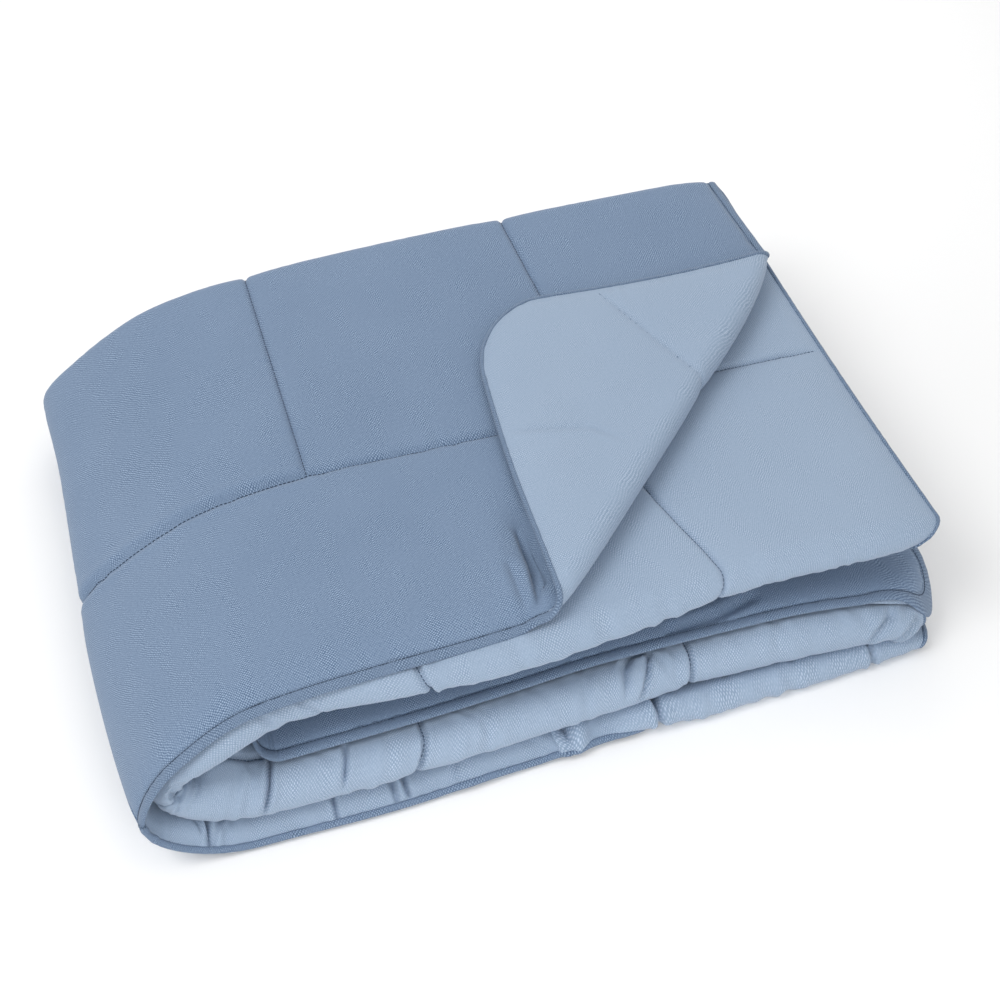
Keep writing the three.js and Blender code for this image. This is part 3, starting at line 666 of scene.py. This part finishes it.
def dents(across, along, side):
    """Depth of the listed creases: soft troughs with a little raised cloth on both sides."""
    total = np.zeros(np.shape(across))
    for crease_side, wide, deep, places in CREASES:
        path = np.array(places, float)
        low = path.min(0) - CREASE_REACH * wide
        high = path.max(0) + CREASE_REACH * wide
        near = (across > low[0]) & (across < high[0]) & (along > low[1]) & (along < high[1])
        if crease_side != side or not near.any():
            continue
        spot = np.stack([across[near], along[near]], axis=-1)
        best = np.full(len(spot), np.inf)
        run = np.zeros(len(spot))
        lengths = np.linalg.norm(path[1:] - path[:-1], axis=-1)
        begins = np.concatenate([[0], np.cumsum(lengths)])
        for i, length in enumerate(lengths):
            way = (path[i + 1] - path[i]) / length
            reach = np.clip((spot - path[i]) @ way, 0, length)
            away = np.linalg.norm(spot - path[i] - reach[:, None] * way, axis=-1)
            nearer = away < best
            best = np.where(nearer, away, best)
            run = np.where(nearer, (begins[i] + reach) / begins[-1], run)
        ends = 1 - (2 * run - 1) ** 4
        trough = bell(best, wide) - CREASE_SIDE * bell(best - CREASE_SIDE_AT * wide, wide)
        sharp = np.clip((deep - CREASE_SLIT_FROM) / CREASE_SLIT_RUN, 0, 1)
        slit = CREASE_SLIT * sharp * bell(best, CREASE_SLIT_WIDTH)
        total[near] += deep * ends * (trough + slit)
    return total


def gather(run, period):
    """Uneven waves along a seam, between about -1 and 1."""
    waver = sum(angle * np.sin(run / length + start) for angle, length, start in GATHER_WAVERS)
    swell = GATHER_LEVEL + GATHER_SWELL * np.sin(run / GATHER_SWELL_RUN + GATHER_SWELL_START)
    return np.sin(2 * math.pi * run / period + waver) * swell


def gathers(across, along, side):
    """Height of the small gathers beside seams and folds."""
    line_across, line_along = line_distances(across, along)
    high, reach = LINE_GATHER
    row = np.round((along - BORDER) / CELL)
    column = np.round((across - BORDER) / CELL)
    over_width = gather(across + WIDTH_LINE_START * row, WIDTH_LINE_PERIOD)
    over_length = gather(along + LENGTH_LINE_START * column, LENGTH_LINE_PERIOD)
    total = high * over_width * np.exp(-line_along / reach)
    total = total + high * over_length * np.exp(-line_across / reach)
    high, reach = HEM_GATHER
    by_side = np.minimum(across, WIDTH - across) - BINDING_WIDTH
    by_end = np.minimum(along, LENGTH - along) - BINDING_WIDTH
    total = total + high * gather(along, SIDE_HEM_PERIOD) * np.exp(-np.maximum(by_side, 0) / reach)
    total = total + high * gather(across, END_HEM_PERIOD) * np.exp(-np.maximum(by_end, 0) / reach)
    if side < 0:
        slant = RUMPLE * sum(
            share * gather(across + lean * along, period) for share, lean, period in RUMPLES
        )
        high, reach = FRONT_GATHER
        high = high * mix(UPPER_GATHER, 1, smooth(across, *UPPER_GATHER_UNTIL))
        front = bell(along - FRONT_FOLD_AT, reach)
        total = total + (slant + high * gather(across, FRONT_PERIOD)) * front
        high, reach = BOTTOM_GATHER
        bulge = BOTTOM_BULGE + high * gather(across, BOTTOM_PERIOD) + slant
        bottom = smooth(across, *BOTTOM_FROM) * bell(along - BOTTOM_BULGE_AT, reach)
        total = total + bulge * bottom
    return total * np.clip(np.minimum(by_side, by_end) / HEM_FADE + 1, 0, 1)


def padding(across, along, side):
    """Padding on one side, less on the inside of a bend."""
    half = half_thickness(across, along) * press_share(across, along)
    most = fold_radius(across, along)
    for i in FACE_INSIDE if side > 0 else REVERSE_INSIDE:
        outside = np.maximum(np.maximum(TURN_START[i] - along, along - PANEL_END[i]), 0)
        most = np.minimum(most, TURN_RADII[i] + TURN_SPREAD * outside)
    return half / (1 + (half / (TURN_FILL * most)) ** TURN_BLEND) ** (1 / TURN_BLEND)


def surface(across, along, side):
    """Outer face of one panel: side is 1 for the darker face and -1 for the lighter reverse."""
    high = padding(across, along, side) + gathers(across, along, side) - dents(across, along, side)
    hem = BINDING_WIDTH if side > 0 else REVERSE_HEM
    high = high - HEM_SLOPE * np.maximum(hem - edge_distance(across, along), 0)
    away = side * np.maximum(high, GAP)
    return cloth_point(across, along) + face_normal(across, along) * away[..., None]


def corner_inset(from_edge, inset):
    """How far the rounded corner cuts into a row at a distance from the edge of the quilt."""
    radius = CORNER_RADIUS - inset
    below = np.clip(CORNER_RADIUS - from_edge, 0, radius)
    return CORNER_RADIUS - np.sqrt(radius * radius - below * below)


def graded(low, high, steps, lines=()):
    """Places from low to high: steps is a table of (place, spacing), tightened near the lines."""
    at = np.linspace(low, high, GRADED_SAMPLES)
    spacing = np.interp(at, [row[0] for row in steps], [row[1] for row in steps])
    for line in lines:
        spacing = np.minimum(spacing, LINE_STEP + LINE_GROWTH * np.abs(at - line))
    count = np.concatenate([[0], np.cumsum((at[1:] - at[:-1]) / spacing[1:])])
    number = int(math.ceil(count[-1]))
    places = np.interp(np.linspace(0, count[-1], number + 1), count, at)
    for line in lines:
        if low < line < high:
            places[np.argmin(np.abs(places - line))] = line
    return places


def drawn_in(across, along, inset):
    """Near the ends of the quilt the columns draw in, to follow the rounded corners."""
    first = corner_inset(np.minimum(along, LENGTH - along), inset)
    from_side = np.minimum(across, WIDTH - across)
    share = (from_side - inset) / (BORDER - inset)
    drawn = np.where(from_side < BORDER, mix(first, BORDER, share), from_side)
    return np.where(across < WIDTH / 2, drawn, WIDTH - drawn)


def to_world(points):
    moved = (points - np.array([CENTRE_X, CENTRE_Y, 0.0])) * MM
    moved[..., 2] = np.maximum(moved[..., 2], 0.0)
    return moved


def new_piece(name, points, faces, material, uv=None):
    mesh = bpy.data.meshes.new(name)
    mesh.from_pydata(points, [], faces)
    if uv is not None:
        layer = mesh.uv_layers.new(name="cloth")
        corner = np.empty(len(mesh.loops), np.int32)
        mesh.loops.foreach_get("vertex_index", corner)
        layer.data.foreach_set("uv", uv[corner].astype(np.float32).ravel())
    mesh.polygons.foreach_set("use_smooth", np.ones(len(mesh.polygons), bool))
    mesh.materials.append(material)
    mesh.update()
    piece = bpy.data.objects.new(name, mesh)
    bpy.context.scene.collection.objects.link(piece)
    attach(piece, "root")
    return piece


def strip(near, near_at, far, far_at):
    """Triangles between two lines of vertices, by their places along the lines."""
    found = []
    i = 0
    j = 0
    while i + 1 < len(near) or j + 1 < len(far):
        near_next = near_at[i + 1] if i + 1 < len(near) else math.inf
        far_next = far_at[j + 1] if j + 1 < len(far) else math.inf
        if near_next <= far_next:
            found.append((near[i], far[j], near[i + 1]))
            i += 1
        else:
            found.append((near[i], far[j], far[j + 1]))
            j += 1
    return found


def rows_mesh(blocks, first_id, inset):
    """Places and faces of a sheet: each block has rows that share its columns."""
    rows = []
    for along_places, columns in blocks:
        for along in along_places:
            rows.append((along, columns))
    across = [drawn_in(columns, np.full(len(columns), along), inset) for along, columns in rows]
    along = [np.full(len(columns), place) for place, columns in rows]
    starts = first_id + np.concatenate([[0], np.cumsum([len(row) for row in across])])
    ids = [np.arange(starts[i], starts[i + 1]) for i in range(len(rows))]
    faces = []
    for i in range(len(rows) - 1):
        if rows[i][1] is rows[i + 1][1]:
            near = ids[i]
            far = ids[i + 1]
            faces += np.stack([near[:-1], far[:-1], far[1:], near[1:]], axis=-1).tolist()
        else:
            faces += strip(ids[i].tolist(), rows[i][1], ids[i + 1].tolist(), rows[i + 1][1])
    places = np.array([place for place, _ in rows])
    sides = [
        (ids[0], across[0]),
        (np.array([row[-1] for row in ids]), places),
        (ids[-1], across[-1]),
        (np.array([row[0] for row in ids]), places),
    ]
    return np.concatenate(across), np.concatenate(along), faces, sides


def blocks_of(table, inset, side):
    """Rows and columns of a panel's mesh, tightened at its sewn lines and creases if it has a side."""
    blocks = []
    for i, (start, stop, row_steps, column_steps) in enumerate(table):
        low = max(start, inset)
        high = min(stop, LENGTH - inset)
        sewn = LINES_ACROSS if side != 0 and LINES_ALONG[0] < stop else []
        creased = [
            across
            for crease_side, _, deep, places in CREASES
            for across, along in places
            if crease_side == side and deep > CREASE_DEEP and start < along < stop
        ]
        rows = graded(low, high, row_steps, LINES_ALONG if side != 0 else ())
        columns = graded(inset, WIDTH - inset, column_steps, list(sewn) + creased)
        blocks.append((rows if i == 0 else rows[1:], columns))
    return blocks


def panel_piece(name, side, table, inset, material):
    """One quilted panel: its outer face, a plainer inner one beside the other panel, and a rim."""
    across, along, faces, outer_sides = rows_mesh(blocks_of(table, inset, side), 0, inset)
    inner_blocks = blocks_of(INNER_TABLE, inset, 0)
    in_across, in_along, in_faces, inner_sides = rows_mesh(inner_blocks, len(across), inset)
    outer = surface(across, along, side)
    inner = cloth_point(in_across, in_along) + face_normal(in_across, in_along) * side * GAP / 2
    faces = faces + [face[::-1] for face in in_faces]
    for turn, (fine, coarse) in enumerate(zip(outer_sides, inner_sides)):
        band = strip(fine[0].tolist(), fine[1], coarse[0].tolist(), coarse[1])
        faces += [face[::-1] for face in band] if turn < 2 else band
    if side < 0:
        faces = [face[::-1] for face in faces]
    points = to_world(np.concatenate([outer, inner]))
    uv = np.stack([np.concatenate([across, in_across]), np.concatenate([along, in_along])], axis=-1)
    piece = new_piece(name, points, faces, material, uv * MM)
    piece.data.set_sharp_from_angle(angle=SHARP_ANGLE)
    return piece


def outline_path(step):
    """Places round the quilt at the middle of its binding, and the way out of the cloth there."""
    inset = (BINDING_WIDTH - BINDING_GAP) / 2
    low = CORNER_RADIUS
    right = WIDTH - CORNER_RADIUS
    top = LENGTH - CORNER_RADIUS
    radius = CORNER_RADIUS - inset
    path = []

    def side(start, stop, out):
        count = int(math.ceil(math.dist(start, stop) / step))
        for i in range(count):
            share = i / count
            path.append((mix(start[0], stop[0], share), mix(start[1], stop[1], share), *out))

    def corner(u, v, begin):
        count = int(math.ceil(radius * math.pi / 2 / step))
        for i in range(count):
            angle = begin + math.pi / 2 * i / count
            du = math.cos(angle)
            dv = math.sin(angle)
            path.append((u + radius * du, v + radius * dv, du, dv))

    side((low, inset), (right, inset), (0, -1))
    corner(right, low, -math.pi / 2)
    side((WIDTH - inset, low), (WIDTH - inset, top), (1, 0))
    corner(right, top, 0)
    side((right, LENGTH - inset), (low, LENGTH - inset), (0, 1))
    corner(low, top, math.pi / 2)
    side((inset, top), (inset, low), (-1, 0))
    corner(low, low, math.pi)
    return np.array(path)


def binding_place(path, out, up):
    """A place of the binding's section, given as shares, at each place of the outline."""
    reach = (BINDING_WIDTH - BINDING_GAP) / 2
    across = path[:, 0] + path[:, 2] * reach * out
    along = path[:, 1] + path[:, 3] * reach * out
    uneven = 1 + BINDING_GATHER * gather(path[:, 0] + path[:, 1], BINDING_PERIOD)
    high = BINDING_THICKNESS / 2 * up * uneven * press_share(path[:, 0], path[:, 1])
    point = cloth_point(across, along) + face_normal(across, along) * np.reshape(high, (-1, 1))
    return point, np.stack([across, along], axis=-1)


def binding_piece(name, material):
    path = outline_path(BINDING_STEP)
    rings = [binding_place(path, out, up) for out, up in BINDING_SECTION]
    sides = len(rings)
    points = np.stack([ring[0] for ring in rings], axis=1).reshape(-1, 3)
    uv = np.stack([ring[1] for ring in rings], axis=1).reshape(-1, 2)
    here = np.arange(len(path))[:, None] * sides
    after = (np.arange(len(path))[:, None] + 1) % len(path) * sides
    k = np.arange(sides)[None, :]
    k_next = (k + 1) % sides
    faces = np.stack([here + k, after + k, after + k_next, here + k_next], axis=-1).reshape(-1, 4)
    return new_piece(name, to_world(points), faces[:, ::-1].tolist(), material, uv * MM)


def stitches(centres, directions, place):
    """Points and faces of stitches; place gives the surface and its normal at flat places."""
    stations = []
    for share, lift in STITCH_STATIONS:
        at = centres + directions * STITCH_HALF * share
        point, normal = place(at[:, 0], at[:, 1])
        stations.append((point + normal * THREAD_RADIUS * lift, normal))
    tangent = unit(stations[3][0] - stations[0][0])
    points = [stations[0][0]]
    for point, normal in stations[1:3]:
        sideways = unit(np.cross(normal, tangent))
        for i in range(THREAD_SIDES):
            turn = 2 * math.pi * i / THREAD_SIDES
            way = normal * math.cos(turn) + sideways * math.sin(turn)
            points.append(point + way * THREAD_RADIUS)
    points.append(stations[3][0])
    points = np.stack(points, axis=1)
    first = np.arange(len(centres))[:, None, None] * points.shape[1]
    faces = (first + np.array(STITCH_FACES)[None]).reshape(-1, 3)
    return points.reshape(-1, 3), faces


def quilting_piece(name, side, material):
    """Stitches of all the sewn lines, on one side of the quilt."""
    centres = []
    ways = []
    spots = np.arange(BINDING_WIDTH + STITCH_PITCH, WIDTH - BINDING_WIDTH - STITCH_PITCH, STITCH_PITCH)
    for line in LINES_ALONG:
        places = first_line(spots) if line == LINES_ALONG[0] else np.full(len(spots), line)
        centres.append(np.stack([spots, places], axis=-1))
        ways.append(unit(np.stack([np.ones(len(spots)), np.gradient(places, spots)], axis=-1)))
    spots = np.arange(LINES_ALONG[0] + STITCH_PITCH, LINES_ALONG[-1] - STITCH_PITCH / 2, STITCH_PITCH)
    for line in LINES_ACROSS:
        centres.append(np.stack([np.full(len(spots), line), spots], axis=-1))
        ways.append(np.tile([0.0, 1.0], (len(spots), 1)))

    def place(across, along):
        return surface(across, along, side), face_normal(across, along) * side

    points, faces = stitches(np.concatenate(centres), np.concatenate(ways), place)
    return new_piece(name, to_world(points), faces.tolist(), material)


def hem_thread_piece(name, material):
    """Stitches round the binding, on the darker side of the quilt."""
    path = outline_path(HEM_STITCH_PITCH)
    reach = (BINDING_WIDTH - BINDING_GAP) / 2
    centres = path[:, :2] + path[:, 2:] * reach * BINDING_SEAM
    ways = np.stack([path[:, 3], -path[:, 2]], axis=-1)

    def place(across, along):
        normal = face_normal(across, along)
        high = BINDING_THICKNESS / 2 * BINDING_SEAM_HEIGHT * press_share(across, along)
        return cloth_point(across, along) + normal * high[:, None], normal

    points, faces = stitches(centres, ways, place)
    return new_piece(name, to_world(points), faces.tolist(), material)


def math_node(tree, operation, *values):
    made = tree.nodes.new("ShaderNodeMath")
    made.operation = operation
    for i, value in enumerate(values):
        if isinstance(value, (int, float)):
            made.inputs[i].default_value = value
        else:
            tree.links.new(value, made.inputs[i])
    return made.outputs[0]


def noise_node(tree, vector, scale, detail, output="Fac"):
    made = tree.nodes.new("ShaderNodeTexNoise")
    made.inputs["Scale"].default_value = scale
    made.inputs["Detail"].default_value = detail
    tree.links.new(vector, made.inputs["Vector"])
    return made.outputs[output]


def range_node(tree, value, start, stop):
    """Maps the range start to the range stop, level beyond its ends."""
    made = tree.nodes.new("ShaderNodeMapRange")
    made.inputs["From Min"].default_value = start[0]
    made.inputs["From Max"].default_value = start[1]
    made.inputs["To Min"].default_value = stop[0]
    made.inputs["To Max"].default_value = stop[1]
    tree.links.new(value, made.inputs["Value"])
    return made.outputs[0]


def wavered(tree, vector, scale, reach):
    """A place moved about by soft noise."""
    moved = tree.nodes.new("ShaderNodeVectorMath")
    moved.operation = "MULTIPLY_ADD"
    tree.links.new(noise_node(tree, vector, scale, WAVER_DETAIL, "Color"), moved.inputs[0])
    moved.inputs[1].default_value = (reach, reach, 0)
    tree.links.new(vector, moved.inputs[2])
    return moved.outputs[0]


def blend_node(tree, shade, dark, light, shader):
    """Base colour from dark to light, and a little past them, by the shade."""
    colour = tree.nodes.new("ShaderNodeMix")
    colour.data_type = "RGBA"
    colour.clamp_factor = False
    colour.inputs[6].default_value = (*dark, 1)
    colour.inputs[7].default_value = (*light, 1)
    tree.links.new(shade, colour.inputs[0])
    tree.links.new(colour.outputs[2], shader.inputs["Base Color"])


def bump_node(tree, height, strength, distance, shader):
    bump = tree.nodes.new("ShaderNodeBump")
    bump.inputs["Strength"].default_value = strength
    bump.inputs["Distance"].default_value = distance
    tree.links.new(height, bump.inputs["Height"])
    tree.links.new(bump.outputs[0], shader.inputs["Normal"])


def new_material(name, finish):
    """A material with the values that are the same all over, its nodes and its shader."""
    material = bpy.data.materials.new(name)
    material.use_nodes = True
    shader = material.node_tree.nodes["Principled BSDF"]
    for socket, value in finish.items():
        shader.inputs[socket].default_value = value
    return material, material.node_tree, shader


def cloth_material(name, colours, weave_share):
    """Fine uneven cross-hatched weave that follows the cloth's own across and along."""
    material, tree, shader = new_material(name, CLOTH_FINISH)
    uv_map = tree.nodes.new("ShaderNodeUVMap")
    uv_map.uv_map = "cloth"
    place = uv_map.outputs["UV"]
    parts = tree.nodes.new("ShaderNodeSeparateXYZ")
    bent = wavered(tree, wavered(tree, place, *SLOW_WAVER), *QUICK_WAVER)
    tree.links.new(bent, parts.inputs[0])
    turn = 2 * math.pi / WEAVE_PERIOD
    warp = math_node(tree, "SINE", math_node(tree, "MULTIPLY", parts.outputs["X"], turn))
    weft = math_node(tree, "SINE", math_node(tree, "MULTIPLY", parts.outputs["Y"], turn))
    weave = range_node(tree, math_node(tree, "MULTIPLY", warp, weft), WEAVE_RANGE, WEAVE_TONES)
    drawn = tree.nodes.new("ShaderNodeVectorMath")
    drawn.operation = "MULTIPLY"
    drawn.inputs[1].default_value = SLUB_STRETCH
    tree.links.new(place, drawn.inputs[0])
    slub = range_node(tree, noise_node(tree, drawn.outputs[0], *SLUB_NOISE), SLUB_RANGE, SLUB_TONES)
    uneven = math_node(tree, "MULTIPLY", weave, slub)
    grain = math_node(tree, "SUBTRACT", noise_node(tree, place, *GRAIN_NOISE), NOISE_MIDDLE)
    broad = math_node(tree, "SUBTRACT", noise_node(tree, place, *BROAD_NOISE), NOISE_MIDDLE)
    shade = math_node(tree, "MULTIPLY_ADD", uneven, weave_share, MIDDLE_TONE)
    shade = math_node(tree, "MULTIPLY_ADD", broad, BROAD_TONE, shade)
    shade = math_node(tree, "MULTIPLY_ADD", grain, GRAIN_TONE * weave_share, shade)
    blend_node(tree, shade, *colours, shader)
    height = math_node(tree, "MULTIPLY_ADD", grain, GRAIN_HEIGHT, uneven)
    bump_node(tree, height, *CLOTH_BUMP, shader)
    return material


def thread_material(name, colours):
    """Spun thread: fine uneven fibres, and shades that change slowly from stitch to stitch."""
    material, tree, shader = new_material(name, THREAD_FINISH)
    place = tree.nodes.new("ShaderNodeTexCoord").outputs["Object"]
    fibres = noise_node(tree, place, *FIBRE_NOISE)
    stitch = noise_node(tree, place, *STITCH_NOISE)
    shade = math_node(tree, "MULTIPLY_ADD", stitch, STITCH_TONE, THREAD_TONE)
    fine = math_node(tree, "SUBTRACT", fibres, NOISE_MIDDLE)
    shade = math_node(tree, "MULTIPLY_ADD", fine, FIBRE_TONE, shade)
    blend_node(tree, shade, *colours, shader)
    bump_node(tree, fibres, *THREAD_BUMP, shader)
    return material


def area_light(name, place, target, size, power, spread):
    data = bpy.data.lights.new(name, "AREA")
    data.shape = "DISK"
    data.spread = math.radians(spread)
    data.size = size
    data.energy = power
    light = bpy.data.objects.new(name, data)
    light.location = place
    light.rotation_euler = (Vector(target) - Vector(place)).to_track_quat("-Z", "Y").to_euler()
    bpy.context.scene.collection.objects.link(light)


# Materials and pieces
face_cloth = cloth_material("face_cloth", FACE_COLOURS, FACE_WEAVE)
reverse_cloth = cloth_material("reverse_cloth", REVERSE_COLOURS, REVERSE_WEAVE)
# The binding material's darker colours are painted shade
shaded_binding_cloth = cloth_material("shaded_binding_cloth", SHADED_BINDING_COLOURS, FACE_WEAVE)
# The thread materials' dark colours are partly painted shade for the shadow in the seams
face_thread_and_shade = thread_material("face_thread_and_shade", FACE_THREAD_AND_SHADE_COLOURS)
reverse_thread_and_shade = thread_material("reverse_thread_and_shade", REVERSE_THREAD_AND_SHADE_COLOURS)

face = panel_piece("face_cloth", 1, FACE_BLOCKS, BINDING_WIDTH - HEM_UNDER, face_cloth)
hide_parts("face_panel")
reverse = panel_piece("reverse_cloth", -1, REVERSE_BLOCKS, REVERSE_HEM - HEM_UNDER, reverse_cloth)
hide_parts("reverse_panel")
binding = binding_piece("edge_binding_cloth", shaded_binding_cloth)
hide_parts("edge_binding")
face_sewing = quilting_piece("face_stitches", 1, face_thread_and_shade)
reverse_sewing = quilting_piece("reverse_stitches", -1, reverse_thread_and_shade)
hem_sewing = hem_thread_piece("binding_stitches", face_thread_and_shade)

# Floor, light and camera
floor_mesh = bpy.data.meshes.new("floor")
floor_corners = [(x * FLOOR_REACH, y * FLOOR_REACH, 0) for x, y in ((-1, -1), (1, -1), (1, 1), (-1, 1))]
floor_mesh.from_pydata(floor_corners, [], [(0, 1, 2, 3)])
floor_mesh.materials.append(new_material("floor_paper", FLOOR_FINISH)[0])
floor = bpy.data.objects.new("floor", floor_mesh)
bpy.context.scene.collection.objects.link(floor)

world = bpy.data.worlds.new("studio")
world.use_nodes = True
background = world.node_tree.nodes["Background"]
background.inputs["Color"].default_value = (1, 1, 1, 1)
background.inputs["Strength"].default_value = WORLD_STRENGTH
bpy.context.scene.world = world
for row in LIGHTS:
    area_light(*row)

camera_data = bpy.data.cameras.new("photo_camera")
camera_data.sensor_width = SENSOR_WIDTH
camera_data.lens = SENSOR_WIDTH * LENS_SHARE
camera = bpy.data.objects.new("photo_camera", camera_data)
camera.location = CAMERA_PLACE
look = Vector(
    (
        math.sin(CAMERA_AZIMUTH) * math.cos(CAMERA_PITCH),
        math.cos(CAMERA_AZIMUTH) * math.cos(CAMERA_PITCH),
        -math.sin(CAMERA_PITCH),
    )
)
camera.rotation_euler = look.to_track_quat("-Z", "Y").to_euler()
bpy.context.scene.collection.objects.link(camera)
bpy.context.scene.camera = camera
bpy.context.scene.view_settings.view_transform = "Standard"
